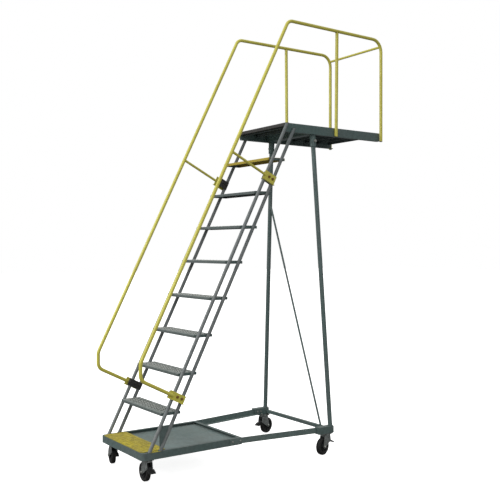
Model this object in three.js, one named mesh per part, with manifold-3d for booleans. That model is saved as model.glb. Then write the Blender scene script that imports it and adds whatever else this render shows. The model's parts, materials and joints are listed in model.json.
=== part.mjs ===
// Cantilever rolling ladder for a warehouse, in millimetres, +Z up.
// +Y is the climbing direction, +X the climber's right hand, and the floor is at z = 0.
import * as THREE from 'three';
import { mergeVertices } from 'three/addons/utils/BufferGeometryUtils.js';
import Module from 'manifold-3d';

const wasm = await Module();
wasm.setup();

// ---- driving dimensions ------------------------------------------------------------------
const GAP = 0.3; // clearance left at every welded or bolted joint

// Stair flight: treads between two pairs of round stringer tubes
const TUBE_R = 12.7;
const TUBE_WALL = 2.1;
const STRINGER_X = 312.5; // centre plane of the stringer tubes
const RISE = 254;
const RUN = 128.5;
const STRINGER_Y0 = 173; // where the front stringer axis would meet the floor
const STRINGER_PITCH_Y = 83; // front to rear tube, measured level
const FRONT_STRINGER_TOP = 2500;
const REAR_STRINGER_TOP = 2468;
const TREAD_COUNT = 9; // the lowest one is the plate on the base
const TREAD_TOP_1 = 204;
const TREAD_DEPTH = 149;
const TREAD_NOSE = 29.5; // tread edge in front of the front tube's axis
const TREAD_LIP = 21;
const TREAD_THICK = 2.5;
const TREAD_RETURN = 10; // lip turned back under the tread

// Wheeled base
const CASTER_HEIGHT = 162;
const BASE_BOTTOM = CASTER_HEIGHT + GAP;
const BASE_TOP = 212;
const BASE_HALF_W = 322;
const BASE_FRONT_Y = 222;
const BASE_REAR_Y = 1018;
const BASE_CORNER_R = 30;
const BASE_STEEL = 4;
const BASE_FLANGE = 25;
const CASTER_PAD = 125;
const BALLAST_THICK = 25.4;
const BOTTOM_TREAD_DEPTH = 185;
const BOTTOM_TREAD_THICK = 4;
const BOTTOM_TREAD_SETBACK = 4;
const BOTTOM_TREAD_CHAMFER = 18;
const RAIL_HEIGHT = 43;
const RAIL_LAP_Y = 915;
const RAIL_LAP_END = 1028;
const RAIL_REAR_X = 405; // outer face where the side rail meets the rear corner
const CORNER_X = [387.2, 438];
const CORNER_Y = [1645, 1789];
const CORNER_TOP = 215;
const CROSS_RAIL = 25.4;
const CROSS_RAIL_WALL = 3;
const CROSS_RAIL_BOTTOM = 171;
const CROSS_RAIL_Y = 1772;

// Platform
const DECK_TOP = 2506;
const DECK_FRONT_Y = 1428;
const DECK_REAR_Y = 2406;
const SIDE_HEIGHT = 67;
const SIDE_X = 299.4; // outer face of the side channels
const SIDE_STEEL = 5;
const SIDE_FLANGE = 30;
const DECK_STEEL = 4;
const DECK_FRONT_LIP = 25;
const DECK_REAR_LIP = 12;
const DECK_RIBS = [150, 528, 778]; // behind the deck's front edge
const DECK_RIB_DEPTH = 34;
const BEAM_HALF_DEPTH = 32;
const BEAM_STEEL = 4;
const SADDLE_HALF_W = 27;

// Rear legs and brace
const LEG_R = 17.2;
const LEG_WALL = 2.6;
const LEG_FOOT = new THREE.Vector3(415, 1771.5, CORNER_TOP + GAP);
const LEG_LEAN_X = -0.0684;
const LEG_LEAN_Y = -0.0215;
const SOCKET_R = 24;
const SOCKET_LENGTH = 90;
const SOCKET_CAP = 12; // solid end above the leg
const BRACE_R = 8;
const BRACE_FOOT = new THREE.Vector3(303, CROSS_RAIL_Y, CROSS_RAIL_BOTTOM + CROSS_RAIL);
const BRACE_TOP_Z = 1939;

// Handrails
const RAIL_X = 331; // plane of the sloping handrail
const POST_X = SIDE_X + TUBE_R + GAP; // plane of the posts on the platform
const RAIL_RUN = 127.6; // advance of the sloping handrail over one RISE
const RAIL_Y0 = -203; // where the sloping handrail's axis would meet the floor
const RAIL_TOP_Z = 3261;
const RAIL_FRONT_Y = 205;
const RAIL_FOOT_T = 637; // distance up the flight of the lower bracket
const STRUT_T = 2348; // distance up the flight of the upper bracket
const MID_POST_Y = 1923;
const REAR_POST_Y = 2411;
const BEND_LOW_R = 60;
const BEND_KNEE_R = 80;
const BEND_TOP_R = 60;
const BEND_REAR_R = 92;
const STRUT_R = 9.5;
const BACK_RAIL_Z = 3210;
const BRACKET_STEEL = 4;
const BRACKET_EDGE = 17;
const CLAMP_STEEL = 5;
const LOWER_BRACKET = { t: RAIL_FOOT_T, height: 58, n: [-44, 88] };
const UPPER_BRACKET = { t: STRUT_T, height: 72, n: [-24, 86] };
const STRUT_LAP = 10; // strut running in behind the upper bracket's front edge

// Casters
const WHEEL_R = 65;
const WHEEL_HALF_W = 16;
const TRAIL = 36; // swivel axis to axle
const HUB_R = 17;
const WEB_HALF_W = 9;
const TYRE_BORE_R = 43;
const TYRE_SHOULDER = 7;
const AXLE_R = 6;
const BOLT_HEAD = [9.5, 7]; // radius, height
const PLATE_SIZE = [90, 72, 4];
const FORK_HALF_GAP = 19;
const FORK_STEEL = 4;
const CROWN_TOP = CASTER_HEIGHT - PLATE_SIZE[2] - GAP;
const FORK_TOP = 147;
const FORK_HALF_L = 33;
const FORK_END_R = 14;
const PIN_EAR_R = 9;
const CROWN_R = 33;
const PEDAL_PIVOT = [33, 103];
const PEDAL_PIN_R = 4;
const PEDAL_HALF_W = 25;
const LEVER_HALF_W = 16;
const FRONT_CASTER = [262, 290];
const REAR_CASTER = [398, 1738];

// ---- materials ---------------------------------------------------------------------------
const finish = (color, roughness, metalness) => () =>
  new THREE.MeshStandardMaterial({ color, roughness, metalness });
const grey = finish(0x515c5d, 0.5, 0.3);
const treadGrey = finish(0x737a78, 0.55, 0.3);
const yellow = finish(0xb2a43c, 0.45, 0.2);
const zinc = finish(0x8d9290, 0.35, 0.9);
const rubber = finish(0x161616, 0.8, 0);

// ---- geometry helpers --------------------------------------------------------------------
const ladder = new THREE.Group();
const slope = Math.atan2(RUN, RISE);

// Everything on the flight is set out in its own axes: x across, y square to it, z up along it.
const flight = new THREE.Group();
flight.rotation.x = -slope;
flight.position.y = STRINGER_Y0;
ladder.add(flight);
flight.updateMatrix();

function addMesh(name, geometry, material, parent = ladder) {
  const mesh = new THREE.Mesh(geometry, material());
  mesh.name = name;
  parent.add(mesh);
  return mesh;
}

function toSolid(geometry) {
  const bare = geometry.index ? geometry.toNonIndexed() : geometry.clone();
  bare.deleteAttribute('normal');
  bare.deleteAttribute('uv');
  const merged = mergeVertices(bare, 1e-3);
  const vertProperties = new Float32Array(merged.attributes.position.array);
  const triVerts = new Uint32Array(merged.index.array);
  return new wasm.Manifold(new wasm.Mesh({ numProp: 3, vertProperties, triVerts }));
}

function toGeometry(solid) {
  const { vertProperties, triVerts } = solid.getMesh();
  const geometry = new THREE.BufferGeometry();
  geometry.setAttribute('position', new THREE.BufferAttribute(vertProperties, 3));
  geometry.setIndex(new THREE.BufferAttribute(triVerts, 1));
  geometry.computeVertexNormals();
  return geometry;
}

function join(...geometries) {
  return toGeometry(geometries.map(toSolid).reduce((a, b) => a.add(b)));
}

function cut(geometry, ...tools) {
  return toGeometry(tools.map(toSolid).reduce((a, b) => a.subtract(b), toSolid(geometry)));
}

function box([x0, x1], [y0, y1], [z0, z1]) {
  const geometry = new THREE.BoxGeometry(x1 - x0, y1 - y0, z1 - z0);
  return geometry.translate((x0 + x1) / 2, (y0 + y1) / 2, (z0 + z1) / 2);
}

// Span from a to b on one side of the ladder, in rising order
function span(side, a, b) {
  return [side * a, side * b].sort((p, q) => p - q);
}

function outline(points) {
  return new THREE.Shape(points.map(([x, y]) => new THREE.Vector2(x, y)));
}

// Upright prism on a plan outline
function prism(shape, z0, z1, curveSegments = 5) {
  const settings = { depth: z1 - z0, bevelEnabled: false, curveSegments };
  return new THREE.ExtrudeGeometry(shape, settings).translate(0, 0, z0);
}

// Profile in the y-z plane, run along x
function runAcross(shape, x0, x1) {
  const geometry = new THREE.ExtrudeGeometry(shape, { depth: x1 - x0, bevelEnabled: false });
  geometry.rotateX(Math.PI / 2);
  geometry.rotateZ(Math.PI / 2);
  return geometry.translate(x0, 0, 0);
}

// Profile in the x-z plane, run along y between -half and +half
function runAlong(shape, half) {
  const geometry = new THREE.ExtrudeGeometry(shape, { depth: 2 * half, bevelEnabled: false });
  geometry.rotateX(Math.PI / 2);
  return geometry.translate(0, half, 0);
}

function cylinderAlongY(radius, half, segments = 16) {
  return new THREE.CylinderGeometry(radius, radius, 2 * half, segments);
}

function ring(outer, inner, stretchY = 1) {
  const shape = new THREE.Shape();
  shape.absellipse(0, 0, outer, outer * stretchY, 0, 2 * Math.PI);
  if (inner > 0) {
    const hole = new THREE.Path();
    hole.absellipse(0, 0, inner, inner * stretchY, 0, 2 * Math.PI, true);
    shape.holes.push(hole);
  }
  return shape;
}

// Leaning tube whose ends are cut level; the lean is the sideways shift per unit of height.
function leaningTube(outer, inner, foot, topZ, leanX, leanY) {
  const shape = ring(outer, inner, Math.hypot(1, leanY));
  const height = topZ - foot.z;
  const settings = { depth: height, bevelEnabled: false, curveSegments: 8 };
  const geometry = new THREE.ExtrudeGeometry(shape, settings);
  geometry.applyMatrix4(new THREE.Matrix4().makeShear(0, 0, 0, 0, leanX, leanY));
  return geometry.translate(foot.x, foot.y, foot.z);
}

// A curve known only at its stops: the ends of each straight run and steps round each bend
class StopCurve extends THREE.Curve {
  constructor(stops) {
    super();
    this.stops = stops;
  }

  get steps() {
    return this.stops.length - 1;
  }

  getPointAt(u, target = new THREE.Vector3()) {
    return target.copy(this.stops[Math.round(u * this.steps)].point);
  }

  getTangentAt(u, target = new THREE.Vector3()) {
    return target.copy(this.stops[Math.round(u * this.steps)].tangent);
  }
}

// Straight runs joined by round bends; each corner is [point, bend radius].
function bentCurve(start, corners, end, bendSteps = 6) {
  const points = [start, ...corners.map(([point]) => point), end];
  const runs = points.slice(1).map((point, i) => point.clone().sub(points[i]).normalize());
  const stops = [{ point: start, tangent: runs[0] }];
  corners.forEach(([corner, radius], i) => {
    const turn = runs[i].angleTo(runs[i + 1]);
    const axis = runs[i].clone().cross(runs[i + 1]).normalize();
    const inward = runs[i + 1].clone().sub(runs[i]).normalize();
    const centre = corner.clone().addScaledVector(inward, radius / Math.cos(turn / 2));
    const bendStart = corner.clone().addScaledVector(runs[i], -radius * Math.tan(turn / 2));
    const spoke = bendStart.sub(centre);
    for (let k = 0; k <= bendSteps; k += 1) {
      const angle = (turn * k) / bendSteps;
      const point = spoke.clone().applyAxisAngle(axis, angle).add(centre);
      const tangent = runs[i].clone().applyAxisAngle(axis, angle);
      stops.push({ point, tangent });
    }
  });
  stops.push({ point: end, tangent: runs[runs.length - 1] });
  return new StopCurve(stops);
}

function bentTube(curve, outer, inner) {
  const settings = { steps: curve.steps, extrudePath: curve, curveSegments: 7 };
  return new THREE.ExtrudeGeometry(ring(outer, inner), settings);
}

function straightTube(outer, inner, start, end) {
  return bentTube(bentCurve(start, [], end), outer, inner);
}

// Point on the flight: x across, n behind the front stringer axis, t up along it
function onFlight(x, n, t) {
  return new THREE.Vector3(x, n, t).applyMatrix4(flight.matrix);
}

const sides = [
  ['left', -1],
  ['right', 1],
];

// ---- base --------------------------------------------------------------------------------
// Plan of the front frame, drawn inset from its outer faces; only the front corners are round.
function basePlan(inset) {
  const x = BASE_HALF_W - inset;
  const front = BASE_FRONT_Y + inset;
  const rear = BASE_REAR_Y - inset;
  const r = Math.max(BASE_CORNER_R - inset, 1);
  const shape = new THREE.Shape();
  shape.moveTo(-x, rear);
  shape.lineTo(-x, front + r);
  shape.absarc(-x + r, front + r, r, Math.PI, 1.5 * Math.PI);
  shape.lineTo(x - r, front);
  shape.absarc(x - r, front + r, r, 1.5 * Math.PI, 2 * Math.PI);
  shape.lineTo(x, rear);
  shape.closePath();
  return shape;
}

function baseFrontFrame() {
  const inside = BASE_HALF_W - BASE_FLANGE;
  const behindPads = [BASE_FRONT_Y + CASTER_PAD, BASE_REAR_Y - BASE_FLANGE];
  const betweenPads = [BASE_FRONT_Y + BASE_FLANGE, BASE_FRONT_Y + CASTER_PAD + 1];
  const padInner = BASE_HALF_W - CASTER_PAD;
  const below = [BASE_BOTTOM - 1, BASE_BOTTOM + BASE_STEEL + 1];
  return cut(
    prism(basePlan(0), BASE_BOTTOM, BASE_TOP),
    prism(basePlan(BASE_STEEL), BASE_BOTTOM + BASE_STEEL, BASE_TOP - BASE_STEEL),
    prism(basePlan(BASE_FLANGE), BASE_TOP - BASE_STEEL - 1, BASE_TOP + 1),
    box([-inside, inside], behindPads, below),
    box([-padInner, padInner], betweenPads, below),
  );
}

addMesh('base_front_frame', baseFrontFrame(), grey);

const ballastBottom = BASE_BOTTOM + BASE_STEEL + GAP;
const ballastTop = ballastBottom + BALLAST_THICK;
addMesh('counterweight_plate', prism(basePlan(BASE_STEEL + GAP), ballastBottom, ballastTop), treadGrey);

// The lowest tread lies on the frame's front flange and turns down behind into the tray.
function bottomTread() {
  const front = BASE_FRONT_Y + BOTTOM_TREAD_SETBACK;
  const rear = BASE_FRONT_Y + BOTTOM_TREAD_DEPTH;
  const z0 = BASE_TOP + GAP;
  const z1 = z0 + BOTTOM_TREAD_THICK;
  const halfW = STRINGER_X - TUBE_R - 3;
  const plan = outline([
    [-halfW, front + BOTTOM_TREAD_CHAMFER],
    [-halfW + BOTTOM_TREAD_CHAMFER, front],
    [halfW - BOTTOM_TREAD_CHAMFER, front],
    [halfW, front + BOTTOM_TREAD_CHAMFER],
    [halfW, rear],
    [-halfW, rear],
  ]);
  const lip = box([-halfW, halfW], [rear - BOTTOM_TREAD_THICK, rear], [ballastTop + GAP, z1]);
  return join(prism(plan, z0, z1), lip);
}

addMesh('bottom_tread', bottomTread(), yellow);

// Side rail: lapped along the frame, then splayed out to the rear corner; an angle with its foot inward
function sideRail(side) {
  const inner = BASE_HALF_W + GAP;
  const outer = inner + BASE_STEEL;
  const rear = CORNER_Y[0] - GAP;
  const wall = outline([
    [side * outer, RAIL_LAP_Y],
    [side * outer, RAIL_LAP_END],
    [side * RAIL_REAR_X, rear],
    [side * (RAIL_REAR_X - BASE_STEEL), rear],
    [side * inner, RAIL_LAP_END],
    [side * inner, RAIL_LAP_Y],
  ]);
  const foot = outline([
    [side * (outer - 1), RAIL_LAP_END],
    [side * (RAIL_REAR_X - 1), rear],
    [side * (RAIL_REAR_X - RAIL_HEIGHT), rear],
    [side * (outer - RAIL_HEIGHT), RAIL_LAP_END],
  ]);
  const z0 = BASE_TOP - RAIL_HEIGHT;
  return join(prism(wall, z0, BASE_TOP), prism(foot, z0, z0 + BASE_STEEL));
}

// Rear corner: a short square tube over its caster, closed in front and open behind
function rearCorner(side) {
  const hollow = box(
    span(side, CORNER_X[0] + BASE_STEEL, CORNER_X[1] - BASE_STEEL),
    [CORNER_Y[0] + BASE_STEEL, CORNER_Y[1] + 1],
    [BASE_BOTTOM + BASE_STEEL, CORNER_TOP - BASE_STEEL],
  );
  return cut(box(span(side, ...CORNER_X), CORNER_Y, [BASE_BOTTOM, CORNER_TOP]), hollow);
}

for (const [label, side] of sides) {
  addMesh(`base_side_rail_${label}`, sideRail(side), grey);
  addMesh(`base_rear_corner_${label}`, rearCorner(side), grey);
}

// Square tube across the back between the rear corners
function rearCrossRail() {
  const halfL = CORNER_X[0] - GAP;
  const y = [CROSS_RAIL_Y - CROSS_RAIL / 2, CROSS_RAIL_Y + CROSS_RAIL / 2];
  const z = [CROSS_RAIL_BOTTOM, CROSS_RAIL_BOTTOM + CROSS_RAIL];
  const wall = CROSS_RAIL_WALL;
  const bore = box([-halfL - 1, halfL + 1], [y[0] + wall, y[1] - wall], [z[0] + wall, z[1] - wall]);
  return cut(box([-halfL, halfL], y, z), bore);
}

addMesh('base_rear_cross_rail', rearCrossRail(), grey);

// ---- stair flight --------------------------------------------------------------------------
const treadTops = Array.from({ length: TREAD_COUNT }, (_, i) => TREAD_TOP_1 + i * RISE);
const stringers = [
  ['front', 0, FRONT_STRINGER_TOP],
  ['rear', STRINGER_PITCH_Y, REAR_STRINGER_TOP],
];

for (const [label, side] of sides) {
  for (const [which, offset, top] of stringers) {
    const z = BASE_TOP + GAP;
    const foot = new THREE.Vector3(side * STRINGER_X, STRINGER_Y0 + offset + z * (RUN / RISE), z);
    const tube = leaningTube(TUBE_R, TUBE_R - TUBE_WALL, foot, top, 0, RUN / RISE);
    addMesh(`stringer_${which}_${label}`, tube, grey);
  }
}

// Folded tread: flat top with a lip turned down at each edge and a short return under it
function treadProfile(yFront, zTop) {
  const t = TREAD_THICK;
  const rear = yFront + TREAD_DEPTH;
  const foot = zTop - TREAD_LIP;
  return outline([
    [yFront, zTop],
    [yFront, foot],
    [yFront + TREAD_RETURN, foot],
    [yFront + TREAD_RETURN, foot + t],
    [yFront + t, foot + t],
    [yFront + t, zTop - t],
    [rear - t, zTop - t],
    [rear - t, foot + t],
    [rear - TREAD_RETURN, foot + t],
    [rear - TREAD_RETURN, foot],
    [rear, foot],
    [rear, zTop],
  ]);
}

const treadHalfW = STRINGER_X - TUBE_R - GAP;
treadTops.slice(1).forEach((zTop, i) => {
  const yFront = STRINGER_Y0 + zTop * (RUN / RISE) - TREAD_NOSE;
  const topTread = i === TREAD_COUNT - 2;
  const tread = runAcross(treadProfile(yFront, zTop), -treadHalfW, treadHalfW);
  addMesh(`tread_${i + 2}`, tread, topTread ? yellow : treadGrey);
});

// ---- platform ------------------------------------------------------------------------------
const sideBottom = DECK_TOP - SIDE_HEIGHT;
const webInner = SIDE_X - SIDE_STEEL;

for (const [label, side] of sides) {
  const length = [DECK_FRONT_Y, DECK_REAR_Y];
  const web = box(span(side, webInner, SIDE_X), length, [sideBottom, DECK_TOP]);
  const foot = [sideBottom, sideBottom + SIDE_STEEL];
  const flange = box(span(side, SIDE_X - SIDE_FLANGE, SIDE_X), length, foot);
  addMesh(`platform_side_${label}`, join(web, flange), grey);
}

// Deck plate with folded front and rear edges and stiffening ribs beneath
function platformDeck() {
  const halfW = webInner - GAP;
  const under = DECK_TOP - DECK_STEEL;
  const ribFoot = under - DECK_RIB_DEPTH;
  const ribs = DECK_RIBS.map((reach) => DECK_FRONT_Y + reach);
  const profile = outline([
    [DECK_FRONT_Y, DECK_TOP],
    [DECK_FRONT_Y, DECK_TOP - DECK_FRONT_LIP],
    [DECK_FRONT_Y + DECK_STEEL, DECK_TOP - DECK_FRONT_LIP],
    [DECK_FRONT_Y + DECK_STEEL, under],
    ...ribs.flatMap((y) => [
      [y, under],
      [y, ribFoot],
      [y + DECK_STEEL, ribFoot],
      [y + DECK_STEEL, under],
    ]),
    [DECK_REAR_Y - DECK_STEEL, under],
    [DECK_REAR_Y - DECK_STEEL, DECK_TOP - DECK_REAR_LIP],
    [DECK_REAR_Y, DECK_TOP - DECK_REAR_LIP],
    [DECK_REAR_Y, DECK_TOP],
  ]);
  return runAcross(profile, -halfW, halfW);
}

addMesh('platform_deck', platformDeck(), grey);

const socketTop = sideBottom - GAP;
const beamY = LEG_FOOT.y + LEG_LEAN_Y * (socketTop - LEG_FOOT.z);

// Beam across the platform over the rear legs: a channel open upward, with a saddle over each leg
function platformBeam() {
  const halfW = webInner - GAP;
  const y = [beamY - BEAM_HALF_DEPTH, beamY + BEAM_HALF_DEPTH];
  const z = [sideBottom + SIDE_STEEL + GAP, DECK_TOP - DECK_STEEL - GAP];
  const hollow = box(
    [-halfW - 1, halfW + 1],
    [y[0] + BEAM_STEEL, y[1] - BEAM_STEEL],
    [z[0] + BEAM_STEEL, z[1] + 1],
  );
  const channel = cut(box([-halfW, halfW], y, z), hollow);
  const legX = LEG_FOOT.x + LEG_LEAN_X * (socketTop - LEG_FOOT.z);
  const saddleIn = legX - SADDLE_HALF_W;
  const saddleOut = SIDE_X - SIDE_FLANGE - GAP;
  const saddles = [-1, 1].map((side) => box(span(side, saddleIn, saddleOut), y, [sideBottom, z[0] + 2]));
  return join(channel, ...saddles);
}

addMesh('platform_beam', platformBeam(), grey);

// ---- rear legs and brace -------------------------------------------------------------------
for (const [label, side] of sides) {
  const foot = new THREE.Vector3(side * LEG_FOOT.x, LEG_FOOT.y, LEG_FOOT.z);
  const lean = side * LEG_LEAN_X;
  const legTop = socketTop - SOCKET_CAP;
  const leg = leaningTube(LEG_R, LEG_R - LEG_WALL, foot, legTop, lean, LEG_LEAN_Y);
  addMesh(`rear_leg_${label}`, leg, grey);

  const at = (z) => new THREE.Vector3(foot.x + lean * (z - foot.z), foot.y + LEG_LEAN_Y * (z - foot.z), z);
  const rim = socketTop - SOCKET_LENGTH;
  const body = leaningTube(SOCKET_R, 0, at(rim), socketTop, lean, LEG_LEAN_Y);
  const bore = leaningTube(LEG_R + GAP, 0, at(rim - 1), legTop + GAP, lean, LEG_LEAN_Y);
  addMesh(`leg_socket_${label}`, cut(body, bore), grey);
}

// The brace runs from the rear cross rail on the right to the left leg near the top.
function legBrace() {
  const up = BRACE_TOP_Z - BRACE_FOOT.z;
  const legX = -(LEG_FOOT.x + LEG_LEAN_X * (BRACE_TOP_Z - LEG_FOOT.z));
  const legY = LEG_FOOT.y + LEG_LEAN_Y * (BRACE_TOP_Z - LEG_FOOT.z);
  const foot = BRACE_FOOT.clone().setZ(BRACE_FOOT.z + GAP);
  const leanX = (legX - foot.x) / up;
  const leanY = (legY - foot.y) / up;
  const rod = leaningTube(BRACE_R, 0, foot, BRACE_TOP_Z, leanX, leanY);
  const legFoot = new THREE.Vector3(-LEG_FOOT.x, LEG_FOOT.y, LEG_FOOT.z);
  const legRoom = leaningTube(LEG_R + GAP, 0, legFoot, BRACE_TOP_Z + 100, -LEG_LEAN_X, LEG_LEAN_Y);
  return cut(rod, legRoom);
}

addMesh('leg_brace', legBrace(), grey);

// ---- handrails -----------------------------------------------------------------------------
// From the lower bracket out to the rail, up the flight, along the platform and down its rear post
function handrailCurve(side) {
  const x = side * RAIL_X;
  const lean = RAIL_RUN / RISE;
  const start = onFlight(x, -TUBE_R - GAP, RAIL_FOOT_T);
  const reach = (start.y - RAIL_FRONT_Y) / Math.cos(slope);
  const elbow = onFlight(x, -TUBE_R - GAP - reach, RAIL_FOOT_T);
  const knee = new THREE.Vector3(x, RAIL_FRONT_Y, (RAIL_FRONT_Y - RAIL_Y0) / lean);
  const top = new THREE.Vector3(x, RAIL_Y0 + RAIL_TOP_Z * lean, RAIL_TOP_Z);
  const rear = new THREE.Vector3(side * POST_X, REAR_POST_Y, RAIL_TOP_Z);
  const end = new THREE.Vector3(side * POST_X, REAR_POST_Y, sideBottom);
  const corners = [
    [elbow, BEND_LOW_R],
    [knee, BEND_KNEE_R],
    [top, BEND_TOP_R],
    [rear, BEND_REAR_R],
  ];
  return bentCurve(start, corners, end);
}

// Angle across the outside of both stringers, its lower edge turned out; made in the flight's axes,
// then stood on the flight
function railBracket(side, centreT, height, nRange) {
  const x0 = STRINGER_X + TUBE_R + GAP;
  const low = centreT - height / 2;
  const high = centreT + height / 2;
  const plate = box(span(side, x0, x0 + BRACKET_STEEL), nRange, [low, high]);
  const edge = box(span(side, x0, x0 + BRACKET_EDGE), nRange, [low, low + BRACKET_STEEL]);
  return join(plate, edge).applyMatrix4(flight.matrix);
}

// Tube and lower bracket, welded into one
function handrail(side, curve) {
  const pipe = bentTube(curve, TUBE_R, TUBE_R - TUBE_WALL);
  const bore = bentTube(curve, TUBE_R - TUBE_WALL, 0);
  const { t, height, n } = LOWER_BRACKET;
  return join(pipe, cut(railBracket(side, t, height, n), bore));
}

// Post at the middle of the platform, coped round the underside of the handrail
function midPost(side, railRoom) {
  const slopeEndY = RAIL_Y0 + RAIL_TOP_Z * (RAIL_RUN / RISE);
  const reach = (MID_POST_Y - slopeEndY) / (REAR_POST_Y - slopeEndY);
  const topX = RAIL_X + (POST_X - RAIL_X) * reach;
  const foot = new THREE.Vector3(side * POST_X, MID_POST_Y, sideBottom);
  const lean = (side * (topX - POST_X)) / (RAIL_TOP_Z - sideBottom);
  return cut(leaningTube(TUBE_R, TUBE_R - TUBE_WALL, foot, RAIL_TOP_Z, lean, 0), railRoom);
}

// Round strut from the sloping handrail to the upper bracket, square to the flight
function upperStrut(side, railRoom) {
  const railSlope = RAIL_RUN / RISE;
  const setBack = STRUT_T * (Math.sin(slope) - railSlope * Math.cos(slope)) + STRINGER_Y0 - RAIL_Y0;
  const railN = -setBack / (Math.cos(slope) + railSlope * Math.sin(slope));
  const { t, height, n } = UPPER_BRACKET;
  const start = onFlight(side * RAIL_X, railN, t);
  const end = onFlight(side * RAIL_X, n[0] + STRUT_LAP, t);
  return cut(join(straightTube(STRUT_R, 0, start, end), railBracket(side, t, height, n)), railRoom);
}

// Plate inside the stringers that a rail bracket is bolted through to
function clampPlate(side, { t, height, n }) {
  const outer = STRINGER_X - TUBE_R - GAP;
  const half = height / 2 - 3;
  return box(span(side, outer - CLAMP_STEEL, outer), [n[0] + 12, n[1] - 4], [t - half, t + half]);
}

for (const [label, side] of sides) {
  const curve = handrailCurve(side);
  const railRoom = bentTube(curve, TUBE_R + GAP, 0);
  addMesh(`handrail_${label}`, handrail(side, curve), yellow);
  addMesh(`mid_post_${label}`, midPost(side, railRoom), yellow);
  addMesh(`upper_strut_${label}`, upperStrut(side, railRoom), yellow);
  addMesh(`clamp_plate_lower_${label}`, clampPlate(side, LOWER_BRACKET), grey, flight);
  addMesh(`clamp_plate_upper_${label}`, clampPlate(side, UPPER_BRACKET), grey, flight);
}

// Thin rail across the back, let into the bends of both handrails
function backRail() {
  const drop = BACK_RAIL_Z - (RAIL_TOP_Z - BEND_REAR_R);
  const y = REAR_POST_Y - BEND_REAR_R + Math.sqrt(BEND_REAR_R ** 2 - drop ** 2);
  const ends = [-1, 1].map((side) => new THREE.Vector3(side * POST_X, y, BACK_RAIL_Z));
  const room = [-1, 1].map((side) => bentTube(handrailCurve(side), TUBE_R + GAP, 0));
  return cut(straightTube(STRUT_R, 0, ...ends), ...room);
}

addMesh('back_rail', backRail(), yellow);

// ---- casters -------------------------------------------------------------------------------
// Each caster is built about its swivel axis, trailing towards -X, with the brake pedal at +X.
function casterFork() {
  const [pinX, pinZ] = PEDAL_PIVOT;
  const arm = new THREE.Shape();
  arm.moveTo(-FORK_HALF_L, FORK_TOP);
  arm.lineTo(FORK_HALF_L, FORK_TOP);
  arm.lineTo(pinX + PIN_EAR_R, pinZ);
  arm.absarc(pinX, pinZ, PIN_EAR_R, 0, -0.6 * Math.PI, true);
  arm.lineTo(-TRAIL + 12, WHEEL_R - 8);
  arm.absarc(-TRAIL, WHEEL_R, FORK_END_R, -0.2 * Math.PI, -Math.PI, true);
  arm.closePath();
  const half = FORK_HALF_GAP + FORK_STEEL;
  const yoke = runAlong(arm, half);
  const crown = prism(ring(CROWN_R, 0), FORK_TOP - 2, CROWN_TOP, 12);
  const throatX = [-TRAIL - WHEEL_R, WHEEL_R];
  const throat = box(throatX, [-FORK_HALF_GAP, FORK_HALF_GAP], [0, FORK_TOP - FORK_STEEL - 1]);
  const axleHole = cylinderAlongY(AXLE_R + GAP, half + 1).translate(-TRAIL, 0, WHEEL_R);
  const pinHole = cylinderAlongY(PEDAL_PIN_R + GAP, half + 1, 12).translate(pinX, 0, pinZ);
  return cut(join(cut(yoke, throat), crown), axleHole, pinHole);
}

function turned(points, segments) {
  return new THREE.LatheGeometry(
    points.map(([r, y]) => new THREE.Vector2(r, y)),
    segments,
  );
}

// Tyre on a dished hub, turned about y
function casterWheel() {
  const w = WHEEL_HALF_W;
  const hub = FORK_HALF_GAP - 1;
  const web = WEB_HALF_W;
  const bore = AXLE_R + GAP;
  const profile = [
    [bore, -hub],
    [HUB_R, -hub],
    [HUB_R + 2, -web],
    [TYRE_BORE_R, -web],
    [TYRE_BORE_R + 4, -w],
    [WHEEL_R - TYRE_SHOULDER, -w],
    [WHEEL_R, -w + TYRE_SHOULDER],
    [WHEEL_R, w - TYRE_SHOULDER],
    [WHEEL_R - TYRE_SHOULDER, w],
    [TYRE_BORE_R + 4, w],
    [TYRE_BORE_R, web],
    [HUB_R + 2, web],
    [HUB_R, hub],
    [bore, hub],
    [bore, -hub],
  ];
  return turned(profile, 32);
}

// Axle bolt with its head and nut
function casterAxle() {
  const reach = FORK_HALF_GAP + FORK_STEEL + GAP;
  const [headR, headHeight] = BOLT_HEAD;
  const profile = [
    [0, -reach - headHeight],
    [headR, -reach - headHeight],
    [headR, -reach],
    [AXLE_R, -reach],
    [AXLE_R, reach],
    [headR, reach],
    [headR, reach + headHeight],
    [0, reach + headHeight],
  ];
  return turned(profile, 12);
}

// Foot pedal: a hub on its pin between the fork arms, a shoe facing the tyre, and a wide tread
function brakePedal() {
  const [px, pz] = PEDAL_PIVOT;
  const lever = outline([
    [px - 7, pz + 4],
    [px + 4, pz + 8],
    [px + 14, pz - 2],
    [px + 46, pz - 20],
    [px + 44, pz - 26],
    [px + 10, pz - 16],
    [px - 1, pz - 17],
    [px - 4, pz - 15],
  ]);
  const tread = outline([
    [px + 18, pz - 4],
    [px + 50, pz - 22],
    [px + 48, pz - 28],
    [px + 17, pz - 12],
  ]);
  const pin = cylinderAlongY(PEDAL_PIN_R, FORK_HALF_GAP + FORK_STEEL, 12).translate(px, 0, pz);
  return join(runAlong(lever, LEVER_HALF_W), runAlong(tread, PEDAL_HALF_W), pin);
}

// Name, swivel position, the heading of the pedal seen from above, and the plate's long side
const casters = [
  ['front_left', [-FRONT_CASTER[0], FRONT_CASTER[1]], -12, 'x'],
  ['front_right', [FRONT_CASTER[0], FRONT_CASTER[1]], -2, 'x'],
  ['rear_left', [-REAR_CASTER[0], REAR_CASTER[1]], -77, 'y'],
  ['rear_right', [REAR_CASTER[0], REAR_CASTER[1]], 103, 'y'],
];

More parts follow.
